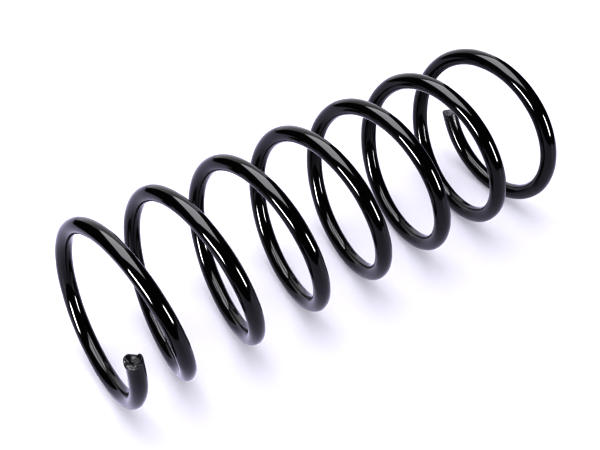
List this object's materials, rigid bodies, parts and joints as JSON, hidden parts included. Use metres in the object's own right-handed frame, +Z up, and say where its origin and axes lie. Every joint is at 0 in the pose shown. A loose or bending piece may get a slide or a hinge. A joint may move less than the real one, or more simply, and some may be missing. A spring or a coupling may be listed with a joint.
{
  "type": "helical compression spring",
  "caption": "Open-coiled helical compression spring of round steel bar for a vehicle suspension, gloss black, lying on its side.",
  "frame": {"origin": "on the floor, under the middle of the spring's length and of its width, as it lies on its side", "axes": "+X along the spring's axis, from the tip that the picture shows in front to the far tip; +Z up, with the spring lying on its coils; +Y to the side away from the camera"},
  "size_m": [0.3996, 0.1428, 0.1428],
  "materials": {
    "black_paint": "gloss black paint or powder coat over steel"
  },
  "bodies": {
    "root": {"spring": "black_paint"}
  },
  "joints": []
}
